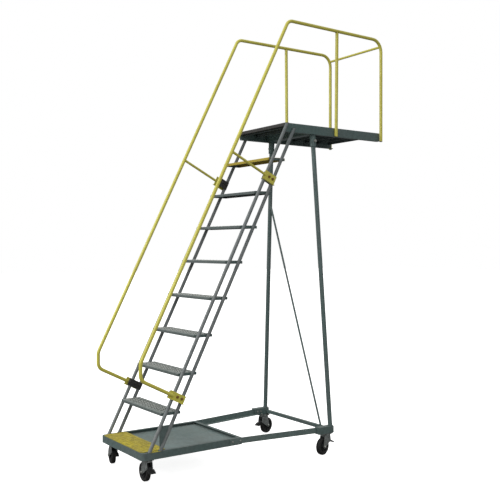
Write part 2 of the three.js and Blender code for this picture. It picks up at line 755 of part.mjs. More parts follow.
for (const [label, [x, y], heading, longSide] of casters) {
  const [length, width, thick] = PLATE_SIZE;
  const plan = longSide === 'x' ? [length, width] : [width, length];
  const plate = new THREE.BoxGeometry(...plan, thick);
  plate.translate(x, y, CASTER_HEIGHT - thick / 2);
  addMesh(`caster_plate_${label}`, plate, zinc);

  const swivel = new THREE.Group();
  swivel.position.set(x, y, 0);
  swivel.rotation.z = THREE.MathUtils.degToRad(heading);
  ladder.add(swivel);
  addMesh(`caster_fork_${label}`, casterFork(), zinc, swivel);
  addMesh(`caster_wheel_${label}`, casterWheel(), rubber, swivel).position.set(-TRAIL, 0, WHEEL_R);
  addMesh(`caster_axle_${label}`, casterAxle(), zinc, swivel).position.set(-TRAIL, 0, WHEEL_R);
  addMesh(`brake_pedal_${label}`, brakePedal(), rubber, swivel);
}

// ---- origin: the middle of the footprint, on the floor -----------------------------------------
const extent = new THREE.Box3().setFromObject(ladder);
ladder.position.y = -(extent.min.y + extent.max.y) / 2;

export default ladder;
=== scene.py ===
"""Rolling warehouse ladder: worn enamel, gripping treads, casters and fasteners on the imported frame.

Lengths are in metres. x runs to the climber's right, y the way they climb, and the floor is z = 0.
"""
import json
from math import atan2, cos, pi, radians, sin, tan

import bmesh
import bpy
from mathutils import Matrix, Vector


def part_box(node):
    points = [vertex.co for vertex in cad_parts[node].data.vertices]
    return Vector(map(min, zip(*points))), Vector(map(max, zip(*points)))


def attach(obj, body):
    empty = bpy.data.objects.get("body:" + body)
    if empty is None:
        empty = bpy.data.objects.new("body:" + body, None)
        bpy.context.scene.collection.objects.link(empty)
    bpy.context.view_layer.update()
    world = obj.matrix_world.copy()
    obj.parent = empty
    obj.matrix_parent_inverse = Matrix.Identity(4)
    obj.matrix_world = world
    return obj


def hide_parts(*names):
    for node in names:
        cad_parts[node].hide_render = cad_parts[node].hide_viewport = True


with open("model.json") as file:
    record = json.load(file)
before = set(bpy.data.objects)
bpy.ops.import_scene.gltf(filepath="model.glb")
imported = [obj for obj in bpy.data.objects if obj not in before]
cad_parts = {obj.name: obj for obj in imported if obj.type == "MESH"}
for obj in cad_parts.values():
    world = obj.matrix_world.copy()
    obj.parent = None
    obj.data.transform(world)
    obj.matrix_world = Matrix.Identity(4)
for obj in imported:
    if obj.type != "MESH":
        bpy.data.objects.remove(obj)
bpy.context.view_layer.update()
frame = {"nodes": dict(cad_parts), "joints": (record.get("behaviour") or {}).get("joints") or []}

scene = bpy.context.scene
nodes = frame["nodes"]
joints = {joint["name"]: joint for joint in frame["joints"]}

# ---- dimensions --------------------------------------------------------------------------
SIDES = (("left", -1), ("right", 1))
CASTERS = ("front_left", "front_right", "rear_left", "rear_right")

# Stair flight, base and rails
SLOPE = atan2(0.1285, 0.254)  # lean of the stair flight from upright
LEAN = tan(SLOPE)
FLIGHT_Y0 = -1.135  # where the front stringer's axis would meet the floor
STRINGER_X = 0.3125
STRINGER_PITCH_Y = 0.083  # front to rear tube, measured level
STRINGER_TOPS = ((0.0, 2.500), (STRINGER_PITCH_Y, 2.468))  # y offset and height of each tube's end
TUBE_R = 0.0127
BASE_TOP = 0.2123
CORNER_TOP = 0.2153
LEG_FOOT = (0.415, 0.4635)
LEG_TOP = (0.2629, 0.4157)
POST_X = 0.3124
MID_POST_Y = 0.615
REAR_POST_Y = 1.103
SIDE_BOTTOM = 2.439  # lower edge of the platform's side channels
RAIL_TOP = (0.3216, 3.261)  # x and height of the top rail's axis over the middle post

# Gripping sheets
SHEET = 0.0025
TREAD_LAND = 0.013  # plain strip along each edge of a gripping sheet
DIAMOND_PITCH = 0.045
TREAD_ROWS = 4
PLANK_ROWS = 6
DIAMOND_OPEN = 0.68  # opening as a share of its cell
CELL_LIP = 0.0042  # edge of each opening turned down
LIP_TAPER = 0.9
TOOTH = 0.0032
VALLEY = 0.15 * TOOTH
SIDE_STEPS = 4  # teeth and valleys along one side of a diamond
BEND_R = 0.004
RETURN_LIP = 0.01
SAME = 1e-7  # two places nearer than this are one

# Platform deck
PLANKS = 7
PLANK_FLANGE = 0.034
PLANK_GAP = 0.0008
DECK_STRIP = 0.030  # plain strip along the deck's front and rear edges
NOSING_LIP = 0.025
REAR_LIP = 0.012
STRIP_STEEL = 0.004

# Buttons of the lowest tread
BUTTON_PITCH = (0.0270, 0.0235)
BUTTON_R = 0.0055
BUTTON_MARGIN = 0.014
FIRST_BUTTONS = 0.012  # from the tread's front edge

# Casters
WHEEL_R = 0.065
WHEEL_HALF_W = 0.016
TYRE_BORE = 0.046
FORK_HALF_W = 0.023
AXLE_R = 0.006
AXLE_ACROSS = 0.017
SPOKES = 8
PEDAL_LOW = Vector((0.018, 0.0, -0.004))  # ends of the pedal's tread, from its pivot
PEDAL_HIGH = Vector((0.050, 0.0, -0.022))
PEDAL_RIBS = 5

# Fasteners: hexagon sizes across the flats, and bolt places
M8_ACROSS = 0.013
M8_SHANK = 0.0039
M10_ACROSS = 0.017
M10_SHANK = 0.005
M12_ACROSS = 0.019
THREAD_PAST_NUT = 0.012
BRACKET_OUTSIDE = 0.3295
BRACKET_INSIDE = 0.2945
BRACKET_BOLTS = ((-0.021, 0.640), (0.024, 0.640), (0.062, 0.640), (0.024, 2.352), (0.058, 2.352))
LAP_BOLTS_Y = (-0.372, -0.306)
LAP_FACE_X = 0.3263
LAP_GRIP = 0.0083
LAP_BOLT_Z = 0.1905
CORNER_BOLTS_Y = (0.362, 0.395)
CORNER_BOLT_Z = 0.192
CORNER_INNER_X = 0.3872
SOCKET_BOLT = (0.2919, 0.4175, 2.392)

# Weld beads
RING_STEPS = 26
BEAD_SIDES = 8
BEAD_RIPPLE = 0.16
BEAD_END = 0.55
CROSS_WELD_Y0 = 0.452  # front end of the beads at the cross rail's ends

# Gusset at the right rear stringer's foot
GUSSET_X = (0.3063, 0.3113)
GUSSET_FRONT = -0.950
GUSSET_TOP = 0.366

# Light: lamps are name, place, watts and size
SKY_LOW = 0.16
SKY_HIGH = 0.85
LAMPS = (("key", (-1.0, -6.5, 5.0), 260.0, 3.5), ("fill", (6.5, -2.5, 3.0), 60.0, 3.0))
LAMP_TARGET = Vector((0.0, 0.0, 1.6))  # point the lamps face

# Camera: about eye height, some six metres away
CAMERA_PLACE = (4.856, -3.432, 1.571)
CAMERA_DOWN = radians(0.195)
CAMERA_TURN = radians(54.935)
CAMERA_LENS = 55.52  # millimetres, on a 36 mm sensor
CAMERA_SHIFT = 0.007


# ---- shader graphs -----------------------------------------------------------------------
def rgb(code):
    """Linear colour of a hexadecimal sRGB code."""
    parts = [int(code[i : i + 2], 16) / 255 for i in (0, 2, 4)]
    linear = [p / 12.92 if p <= 0.04045 else ((p + 0.055) / 1.055) ** 2.4 for p in parts]
    return (*linear, 1.0)


class Graph:
    """A material's node tree, built by short calls that take numbers or other nodes' sockets."""

    def __init__(self, name):
        self.material = bpy.data.materials.new(name)
        self.material.use_nodes = True
        self.tree = self.material.node_tree
        self.tree.nodes.clear()
        self.place = self.add("ShaderNodeTexCoord").outputs["Object"]

    def add(self, kind, inputs=None, **properties):
        node = self.tree.nodes.new(kind)
        for key, value in properties.items():
            setattr(node, key, value)
        for key, value in (inputs or {}).items():
            self.feed(node.inputs[key], value)
        return node

    def feed(self, socket, value):
        """Links another node's output to an input, or sets the input's number."""
        if isinstance(value, bpy.types.NodeSocket):
            self.tree.links.new(value, socket)
        else:
            socket.default_value = value

    def math(self, operation, a, b=0.0, clamp=False):
        node = self.add("ShaderNodeMath", {0: a, 1: b}, operation=operation, use_clamp=clamp)
        return node.outputs[0]

    def ramp(self, value, low, high, bottom=0.0, top=1.0):
        node = self.add("ShaderNodeMapRange", {0: value, 1: low, 2: high, 3: bottom, 4: top})
        return node.outputs[0]

    def mix(self, factor, a, b):
        node = self.add("ShaderNodeMix", {0: factor, 6: a, 7: b}, data_type="RGBA")
        return node.outputs[2]

    def noise(self, scale, detail=3.0, stretch=(1, 1, 1), shift=0.0):
        placing = {"Vector": self.place, "Scale": stretch, "Location": (shift,) * 3}
        where = self.add("ShaderNodeMapping", placing).outputs[0]
        texture = self.add("ShaderNodeTexNoise", {"Vector": where, "Scale": scale, "Detail": detail})
        return texture.outputs["Fac"]

    def edges(self, radius):
        """Near 1 on outer edges and corners, 0 on flat or evenly round surface."""
        true = self.add("ShaderNodeNewGeometry").outputs["Normal"]
        soft = self.add("ShaderNodeBevel", {"Radius": radius}, samples=4).outputs[0]
        alike = self.add("ShaderNodeVectorMath", {0: true, 1: soft}, operation="DOT_PRODUCT")
        return self.ramp(alike.outputs["Value"], 0.97, 0.88)

    def facing_up(self):
        normal = self.add("ShaderNodeNewGeometry").outputs["Normal"]
        return self.ramp(self.add("ShaderNodeSeparateXYZ", {0: normal}).outputs["Z"], 0.55, 0.95)

    def stringer_foot_mask(self):
        """1 on the top of the base between the right stringers' feet, with a ragged edge."""
        where = self.add("ShaderNodeSeparateXYZ", {0: self.place}).outputs
        ragged = self.ramp(self.noise(60, 4.0, shift=9.1), 0.0, 1.0, -0.006, 0.006)
        y = self.math("ADD", where["Y"], ragged)
        inside = self.math("MULTIPLY", self.ramp(y, -1.031, -1.026), self.ramp(y, -0.941, -0.946))
        inside = self.math("MULTIPLY", inside, self.ramp(where["X"], 0.290, 0.292))
        return self.math("MULTIPLY", inside, self.ramp(where["Z"], 0.2095, 0.2105))

    def bump(self, height, strength, distance=0.001, under=None):
        inputs = {"Height": height, "Strength": strength, "Distance": distance}
        if under is not None:
            inputs["Normal"] = under
        return self.add("ShaderNodeBump", inputs).outputs[0]

    def finish(self, **inputs):
        named = {key.replace("_", " "): value for key, value in inputs.items()}
        shader = self.add("ShaderNodeBsdfPrincipled", named)
        self.add("ShaderNodeOutputMaterial", {"Surface": shader.outputs[0]})
        return self.material


def enamel(
    name,
    colour,
    drift,
    roughness,
    chips=0.6,
    scuffs=0.3,
    dust=0.3,
    bare="6f6a62",
    mottled=0.3,
    overspray=False,
):
    """Enamel with slow colour drift, orange peel, edges rubbed to steel and rust, scuffs and dust.

    Overspray adds the yellow paint on the base between the right stringers' feet.
    """
    g = Graph(name)
    slow = g.ramp(g.noise(2.6, 2.0), 0.3, 0.7)
    mottle = g.noise(46, 5.0, shift=3.1)
    paint = g.mix(slow, rgb(colour), rgb(drift))
    paint = g.mix(g.ramp(mottle, 0.35, 0.75, 0.0, mottled), paint, rgb("1c2626"))

    if overspray:
        paint = g.mix(g.stringer_foot_mask(), paint, rgb("c9bb3a"))

    patchy = g.ramp(g.noise(85, 6.0, shift=7.7), 0.46, 0.56)
    worn = g.math("MULTIPLY", g.math("MULTIPLY", g.edges(0.0016), patchy), chips)
    hairline = g.ramp(g.noise(190, 2.0, stretch=(1, 0.06, 1), shift=1.9), 0.64, 0.69)
    where = g.ramp(g.noise(9, 3.0, shift=5.3), 0.45, 0.62)
    scuffed = g.math("MULTIPLY", g.math("MULTIPLY", hairline, where), scuffs)
    rust = g.mix(g.noise(260, 3.0), rgb(bare), rgb("5a3d29"))
    surface = g.mix(worn, paint, rust)
    surface = g.mix(scuffed, surface, rgb("a3a8a4"))

    settled = g.math("MULTIPLY", g.facing_up(), g.ramp(g.noise(14, 5.0, shift=2.2), 0.3, 0.8))
    dusty = g.math("MULTIPLY", settled, dust)
    surface = g.mix(dusty, surface, rgb("8b887f"))

    rough = g.math("ADD", g.ramp(mottle, 0.3, 0.7, roughness - 0.07, roughness + 0.09), dusty)
    peel = g.bump(g.noise(520, 2.0), 0.10, 0.0006)
    relief = g.bump(g.math("SUBTRACT", 1.0, worn), 0.35, 0.0005, under=peel)
    metal = g.math("MULTIPLY", worn, 0.6)
    return g.finish(Base_Color=surface, Roughness=rough, Metallic=metal, Normal=relief)


def tread_enamel(name, colour, rubbed, dirt, soiled=0.5, fold_shade="4a5555"):
    """Enamel walked on: worn steel teeth painted bright as glints, painted shade in the openings and
    corners, scuffs, and painted shade on the folds' upright faces.
    """
    g = Graph(name)
    mottle = g.noise(34, 6.0, shift=4.4)
    paint = g.mix(g.ramp(g.noise(5, 3.0), 0.3, 0.7), rgb(colour), rgb(rubbed))
    paint = g.mix(g.ramp(mottle, 0.42, 0.72, 0.0, soiled), paint, rgb(dirt))
    rise = g.add("ShaderNodeAttribute", attribute_name="rise").outputs["Fac"]
    uneven = g.ramp(g.noise(60, 4.0, shift=6.0), 0.3, 0.5, 0.35, 1.0)
    # Worn bare steel on the tooth tips and top edges, painted near white as painted glints
    worn_and_glinting_tips = g.math("MULTIPLY", g.ramp(rise, 0.3, 0.8), uneven)
    worn_edge = g.math("MULTIPLY", g.edges(0.0014), g.facing_up())
    polish_and_glint = g.math("MAXIMUM", worn_and_glinting_tips, g.math("MULTIPLY", worn_edge, 0.5))
    surface = g.mix(g.math("MULTIPLY", polish_and_glint, 0.95), paint, rgb("e2e4df"))
    swipe = g.ramp(g.noise(120, 3.0, stretch=(0.12, 1, 1), shift=2.5), 0.58, 0.68)
    surface = g.mix(g.math("MULTIPLY", swipe, 0.22), surface, rgb("a9aca6"))
    # Painted shade: near black in the corners, from ambient occlusion, and down in the openings
    cavity = g.add("ShaderNodeAmbientOcclusion", {"Distance": 0.012}, samples=4).outputs["AO"]
    shade_in_corners = g.ramp(cavity, 0.75, 0.25, 0.0, 0.6)
    painted_shade = g.math("MAXIMUM", shade_in_corners, g.ramp(rise, -0.1, -0.7, 0.0, 0.85))
    surface = g.mix(painted_shade, surface, rgb("1f201e"))
    # Painted shade: upright faces of the folds darker than the tread's top
    upright = g.math("SUBTRACT", 1.0, g.facing_up())
    upright_shade = g.math("MULTIPLY", upright, g.ramp(g.math("ABSOLUTE", rise), 0.1, 0.0))
    surface = g.mix(g.math("MULTIPLY", upright_shade, 0.75), surface, rgb(fold_shade))
    rough = g.ramp(mottle, 0.3, 0.7, 0.42, 0.68)
    relief = g.bump(g.noise(420, 3.0), 0.16, 0.0006)
    metal = g.math("MULTIPLY", polish_and_glint, 0.3)
    return g.finish(Base_Color=surface, Roughness=rough, Metallic=metal, Normal=relief)


def zinc_plate(name, colour, dull):
    """Zinc plating gone cloudy, with painted shade in the corners."""
    g = Graph(name)
    cloud = g.ramp(g.noise(60, 5.0), 0.35, 0.68)
    surface = g.mix(cloud, rgb(colour), rgb(dull))
    # Painted shade: near black in the corners, from ambient occlusion
    painted_shade = g.add("ShaderNodeAmbientOcclusion", {"Distance": 0.01}, samples=4).outputs["AO"]
    surface = g.mix(g.ramp(painted_shade, 0.8, 0.35, 0.0, 0.8), surface, rgb("1e1c1a"))
    surface = g.mix(g.ramp(g.noise(170, 4.0, shift=8.1), 0.62, 0.7, 0.0, 0.6), surface, rgb("54402f"))
    rough = g.ramp(cloud, 0.0, 1.0, 0.30, 0.55)
    relief = g.bump(g.noise(700, 2.0), 0.12, 0.0004)
    return g.finish(Base_Color=surface, Roughness=rough, Metallic=0.85, Normal=relief)


def rubber(name):
    """Moulded black rubber, greyed by floor dust where it rolls."""
    g = Graph(name)
    dusty = g.ramp(g.noise(70, 6.0), 0.45, 0.75, 0.0, 0.45)
    surface = g.mix(dusty, rgb("131313"), rgb("504d47"))
    relief = g.bump(g.noise(330, 4.0), 0.25, 0.0008)
    return g.finish(Base_Color=surface, Roughness=g.ramp(dusty, 0.0, 0.45, 0.62, 0.88), Normal=relief)


def black_coat(name, colour="17191a", roughness=0.42):
    """Black powder coat or moulded plastic, scuffed grey on its edges."""
    g = Graph(name)
    rubbed = g.math("MULTIPLY", g.edges(0.0014), g.ramp(g.noise(140, 4.0), 0.42, 0.58))
    surface = g.mix(g.math("MULTIPLY", rubbed, 0.6), rgb(colour), rgb("6d6d6a"))
    surface = g.mix(g.ramp(g.noise(40, 4.0, shift=3.0), 0.5, 0.8, 0.0, 0.3), surface, rgb("4c4a45"))
    rough = g.ramp(g.noise(90, 3.0), 0.3, 0.7, roughness, roughness + 0.2)
    return g.finish(Base_Color=surface, Roughness=rough, Normal=g.bump(g.noise(600, 2.0), 0.15, 0.0005))


def weld_metal(name, colour):
    """Painted-over weld bead with its ripples."""
    g = Graph(name)
    waves = {"Vector": g.place, "Scale": 90.0, "Distortion": 6.0, "Detail": 2.0}
    ripple = g.add("ShaderNodeTexWave", waves)
    surface = g.mix(g.ramp(g.noise(120, 4.0), 0.4, 0.65), rgb(colour), rgb("3b3a37"))
    relief = g.bump(ripple.outputs["Fac"], 0.5, 0.0007)
    return g.finish(Base_Color=surface, Roughness=0.5, Normal=relief)


SLATE = enamel("slate_enamel", "58706d", "647270", 0.40)
BASE_SLATE = enamel("base_slate_enamel", "58706d", "647270", 0.40, overspray=True)
PALE_STRINGER = enamel("stringer_enamel", "747c7d", "828685", 0.42)
RAIL_SLATE = enamel("rail_slate_enamel", "677d7a", "717f7c", 0.40)
# Dark grey enamel of the clamp plates, bracket nuts and deck edge strips
DARK_ENAMEL = enamel("dark_enamel", "373736", "403c39", 0.7, chips=0.3, scuffs=0.15, dust=0.1)
PALE_PAN = enamel("pan_enamel", "6f8785", "7b8c8b", 0.42, scuffs=0.7, dust=0.45, mottled=0.12)
YELLOW_LOOKS = dict(chips=0.35, scuffs=0.1, dust=0.05, bare="7d7748", mottled=0.14)
YELLOW = enamel("yellow_enamel", "e2dc62", "d6cd58", 0.34, **YELLOW_LOOKS)
RUSTY_YELLOW = enamel("rusty_yellow_enamel", "8f6a28", "6f4a22", 0.55, chips=0.9)
# Tread enamels: each fold colour is painted shade on the upright faces of the folds
DECK_GREY = tread_enamel("deck_enamel", "566462", "5f6a69", "343b3a")
WORN_TREAD = tread_enamel("worn_yellow_enamel", "cbbb26", "aea036", "6a5a34", soiled=0.7, fold_shade="8b8536")
GREY_TREAD = tread_enamel("grey_tread_enamel", "7b8683", "949a96", "3b3f3a", soiled=0.55)
YELLOW_TREAD = tread_enamel("yellow_tread_enamel", "d2bd30", "b9a548", "77643a", fold_shade="a8942c")
ZINC = zinc_plate("zinc", "b9bebc", "8a8f8d")
BOLT_ZINC = zinc_plate("bolt_zinc", "c9cbc7", "93958f")
RUBBER = rubber("tyre_rubber")
BLACK = black_coat("black_coat")
HUB_BLACK = black_coat("hub_plastic", "202224", 0.5)
SLATE_WELD = weld_metal("slate_weld", "53686a")
YELLOW_WELD = weld_metal("yellow_weld", "b9ab48")


# ---- mesh helpers ------------------------------------------------------------------------
def piece(name, bm, material, body="frame", sharp=35):
    """A named object from a bmesh whose points are in the row frame, riding on one body."""
    bmesh.ops.recalc_face_normals(bm, faces=bm.faces)
    mesh = bpy.data.meshes.new(name)
    bm.to_mesh(mesh)
    bm.free()
    mesh.polygons.foreach_set("use_smooth", [True] * len(mesh.polygons))
    mesh.set_sharp_from_angle(angle=radians(sharp))
    mesh.materials.append(material)
    obj = bpy.data.objects.new(name, mesh)
    scene.collection.objects.link(obj)
    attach(obj, body)
    return obj


def soften(obj, width, segments=2):
    bevel = obj.modifiers.new("rounded_edges", "BEVEL")
    bevel.width = width
    bevel.segments = segments
    bevel.limit_method = "ANGLE"
    bevel.angle_limit = radians(38)
    normals = obj.modifiers.new("even_normals", "WEIGHTED_NORMAL")
    normals.keep_sharp = True


def merge_group():
    """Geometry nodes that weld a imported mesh's loose triangles and drop their flat normals."""
    group = bpy.data.node_groups.new("welded", "GeometryNodeTree")
    for way in ("INPUT", "OUTPUT"):
        group.interface.new_socket("Geometry", in_out=way, socket_type="NodeSocketGeometry")
    start = group.nodes.new("NodeGroupInput")
    merge = group.nodes.new("GeometryNodeMergeByDistance")
    merge.inputs["Distance"].default_value = 1e-5
    group.links.new(start.outputs[0], merge.inputs["Geometry"])
    last = merge.outputs["Geometry"]
    for attribute in ("custom_normal", "sharp_face", "sharp_edge"):
        drop = group.nodes.new("GeometryNodeRemoveAttribute")
        drop.inputs["Name"].default_value = attribute
        group.links.new(last, drop.inputs["Geometry"])
        last = drop.outputs["Geometry"]
    group.links.new(last, group.nodes.new("NodeGroupOutput").inputs[0])
    return group


WELDED = merge_group()


def dress(name, material, width):
    """Carries a CAD node over: welded and edge-rounded by modifiers, with its own procedural finish."""
    obj = nodes[name]
    obj.modifiers.new("welded", "NODES").node_group = WELDED
    flat = obj.modifiers.new("flat_faces", "DECIMATE")
    flat.decimate_type = "DISSOLVE"
    flat.angle_limit = radians(0.6)
    soften(obj, width)
    obj.material_slots[0].link = "OBJECT"
    obj.material_slots[0].material = material


def add_box(bm, low, high, matrix=None):
    size = Vector(high) - Vector(low)
    at = Matrix.Translation((Vector(low) + Vector(high)) / 2) @ Matrix.Diagonal((*size, 1.0))
    bmesh.ops.create_cube(bm, size=1.0, matrix=(matrix or Matrix()) @ at)


def add_run_across(bm, outline, x0, x1):
    """A closed outline of (y, z) points run along x."""
    rings = [[bm.verts.new((x, y, z)) for y, z in outline] for x in (x0, x1)]
    for ring in rings:
        bm.faces.new(ring)
    count = len(outline)
    for k in range(count):
        n = (k + 1) % count
        bm.faces.new((rings[0][k], rings[0][n], rings[1][n], rings[1][k]))


def add_circle(bm, radius, matrix, steps):
    """Points evenly round a circle in the matrix's xy plane."""
    angles = [2 * pi * k / steps for k in range(steps)]
    return [bm.verts.new(matrix @ Vector((radius * cos(a), radius * sin(a), 0.0))) for a in angles]


def profile_rings(bm, profile, matrix, steps):
    """One circle for each (radius, height) point of a profile."""
    rings = []
    for radius, height in profile:
        rings.append(add_circle(bm, radius, matrix @ Matrix.Translation((0, 0, height)), steps))
    return rings


def join_rings(bm, rings):
    """Four-sided faces between each ring of points and the next."""
    for a, b in zip(rings, rings[1:]):
        for k in range(len(a)):
            n = (k + 1) % len(a)
            bm.faces.new((a[k], a[n], b[n], b[k]))


def add_turned(bm, profile, matrix, steps=48):
    """A closed profile of (radius, height) points turned about the matrix's z axis."""
    rings = profile_rings(bm, profile, matrix, steps)
    join_rings(bm, rings)
    bm.faces.new(rings[0])
    bm.faces.new(rings[-1])


def add_ring_turned(bm, profile, matrix, steps=64):
    """A closed ring section of (radius, height) points turned about the matrix's z axis."""
    rings = profile_rings(bm, profile, matrix, steps)
    join_rings(bm, rings + rings[:1])


def facing(point, direction):
    """Matrix at a point with its z axis along a direction."""
    turn = Vector(direction).to_track_quat("Z", "Y").to_matrix().to_4x4()
    return Matrix.Translation(Vector(point)) @ turn


def add_hex_head(bm, matrix, across):
    """Washer and chamfered hexagon head standing up from the matrix's origin."""
    r = across / 2 / cos(pi / 6)
    washer = across * 0.58
    height = across * 0.42
    rim = [(washer * 0.94, 0.0), (washer, 0.0003), (washer, 0.0012), (washer * 0.94, 0.0016)]
    add_turned(bm, rim, matrix, steps=24)
    head = [(r, 0.0016), (r, height * 0.8 + 0.0016), (r * 0.86, height + 0.0016)]
    add_turned(bm, head, matrix, steps=6)


def add_stud(bm, matrix, radius, length):
    tip = radius * 0.8
    profile = [(tip, -0.001), (radius, 0.0), (radius, length - 0.001), (tip, length)]
    add_turned(bm, profile, matrix, 16)


def add_bead(bm, points, radius):
    """Weld bead along a line of points: a round string with a slight ripple."""
    rings = []
    for i, point in enumerate(points):
        before = points[max(i - 1, 0)]
        after = points[min(i + 1, len(points) - 1)]
        frame_at = facing(point, Vector(after) - Vector(before))
        r = radius * (1.0 + BEAD_RIPPLE * (i % 2)) * (BEAD_END if i in (0, len(points) - 1) else 1.0)
        rings.append(add_circle(bm, r, frame_at, BEAD_SIDES))
    join_rings(bm, rings)
    bm.faces.new(rings[0])
    bm.faces.new(rings[-1])


# ---- gripping sheets ---------------------------------------------------------------------
class Sheet:
    """Top surface of a sheet with staggered toothed diamond openings, welded point by point."""

    def __init__(self, z):
        self.bm = bmesh.new()
        self.rise = self.bm.verts.layers.float.new("rise")  # 1 on a tooth's tip, -1 down in an opening
        self.z = z
        self.points = {}

    def at(self, x, y, lift=0.0, rise=0.0):
        key = (round(x, 6), round(y, 6), round(lift, 6))
        if key not in self.points:
            vert = self.bm.verts.new((x, y, self.z + lift))
            vert[self.rise] = rise
            self.points[key] = vert
        return self.points[key]

    def face(self, points):
        verts = []
        for v in points:
            if v not in verts:
                verts.append(v)
        if len(verts) > 2 and self.bm.faces.get(verts) is None:
            self.bm.faces.new(verts)


def diamond_path(cx, cy, half_x, half_y):
    """Corners and side points of one diamond, anticlockwise."""
    corners = [(cx + half_x, cy), (cx, cy + half_y), (cx - half_x, cy), (cx, cy - half_y)]
    path = []
    for (x0, y0), (x1, y1) in zip(corners, corners[1:] + corners[:1]):
        for k in range(SIDE_STEPS):
            s = k / SIDE_STEPS
            path.append((x0 + (x1 - x0) * s, y0 + (y1 - y0) * s))
    return path


def open_cell(sheet, cx, cy, half_x, half_y):
    """One diamond: flat strands, a toothed rim standing up and a lip turned down."""
    outer = [sheet.at(x, y) for x, y in diamond_path(cx, cy, half_x, half_y)]
    rim, lip = [], []
    for k, (x, y) in enumerate(diamond_path(cx, cy, half_x * DIAMOND_OPEN, half_y * DIAMOND_OPEN)):
        rim.append(sheet.at(x, y, TOOTH, 1.0) if k % 2 else sheet.at(x, y, VALLEY, 0.4))
        lip.append(sheet.at(cx + (x - cx) * LIP_TAPER, cy + (y - cy) * LIP_TAPER, -CELL_LIP, -1.0))
    count = len(outer)
    for k in range(count):
        n = (k + 1) % count
        sheet.face((outer[k], outer[n], rim[n], rim[k]))
        sheet.face((rim[k], rim[n], lip[n], lip[k]))


def closed_cell(sheet, cx, cy, half_x, half_y, low, high):
    """The part of a diamond inside the band, left solid along the band's borders."""
    path = [
        (x, y)
        for x, y in diamond_path(cx, cy, half_x, half_y)
        if low[0] - SAME <= x <= high[0] + SAME and low[1] - SAME <= y <= high[1] + SAME
    ]
    for x in (low[0], high[0]):
        for y in (low[1], high[1]):
            if abs(x - cx) < SAME and abs(y - cy) < SAME:
                path.append((x, y))
    # The points are sorted round a centre moved slightly into the band, so that none lies on it
    inside_x = cx + (low[0] + high[0] - 2 * cx) * 1e-3
    inside_y = cy + (low[1] + high[1] - 2 * cy) * 1e-3
    path.sort(key=lambda p: atan2(p[1] - inside_y, p[0] - inside_x))
    sheet.face([sheet.at(x, y) for x, y in path])


def grip_band(sheet, low, high, columns, rows):
    """Fills the band between two corners with rows of staggered diamonds."""
    half_x = (high[0] - low[0]) / (2 * columns)
    half_y = (high[1] - low[1]) / rows
    for row in range(rows + 1):
        cy = low[1] + row * half_y
        offset = 1 if row % 2 else 0
        for column in range(columns + 1 - offset):
            cx = low[0] + (2 * column + offset) * half_x
            inside = half_x * 0.5 < cx - low[0] < high[0] - low[0] - half_x * 0.5
            if inside and 0 < row < rows:
                open_cell(sheet, cx, cy, half_x, half_y)
            else:
                closed_cell(sheet, cx, cy, half_x, half_y, low, high)
    return [low[0] + k * half_x for k in range(2 * columns + 1)]


def folded_edge(sheet, xs, y_from, y_edge, depth, turn):
    """Plain strip from the band to the sheet's edge, bent down and turned back under."""
    out = 1 if y_edge > y_from else -1
    profile = [(y_from, 0.0)]
    for k in range(4):
        a = radians(30 * k)
        profile.append((y_edge - out * BEND_R * (1 - sin(a)), -BEND_R * (1 - cos(a))))
    profile.append((y_edge, -depth + SHEET / 2))
    profile.append((y_edge - out * turn, -depth + SHEET / 2))
    for (y0, z0), (y1, z1) in zip(profile, profile[1:]):
        for x0, x1 in zip(xs, xs[1:]):
            corners = ((x0, y0, z0), (x1, y0, z0), (x1, y1, z1), (x0, y1, z1))
            sheet.face([sheet.at(*corner) for corner in corners])


def thicken(obj):
    solid = obj.modifiers.new("sheet_steel", "SOLIDIFY")
    solid.thickness = SHEET
    solid.offset = -1.0
    solid.use_even_offset = False


def grip_tread(name, material):
    """Gripping tread in place of a plain CAD tread: diamonds, folded edges and end plates."""
    low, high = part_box(name)
    sheet = Sheet(high.z)
    band_low = (low.x, low.y + TREAD_LAND)
    band_high = (high.x, high.y - TREAD_LAND)
    columns = round((high.x - low.x) / DIAMOND_PITCH)
    xs = grip_band(sheet, band_low, band_high, columns, TREAD_ROWS)
    depth = high.z - low.z
    borders = [xs[0], *xs[1:-1:2], xs[-1]]
    folded_edge(sheet, borders, band_low[1], low.y, depth, RETURN_LIP)
    folded_edge(sheet, borders, band_high[1], high.y, depth, RETURN_LIP)
    obj = piece(f"{name}_grip", sheet.bm, material)
    thicken(obj)
    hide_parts(name)
    ends = bmesh.new()
    for x in (low.x, high.x - SHEET):
        inner = (low.y + SHEET, high.y - SHEET)
        add_box(ends, (x, inner[0], low.z + 0.001), (x + SHEET, inner[1], high.z - SHEET))
    plates = piece(f"{name}_end_plates", ends, SLATE)
    soften(plates, 0.0006)


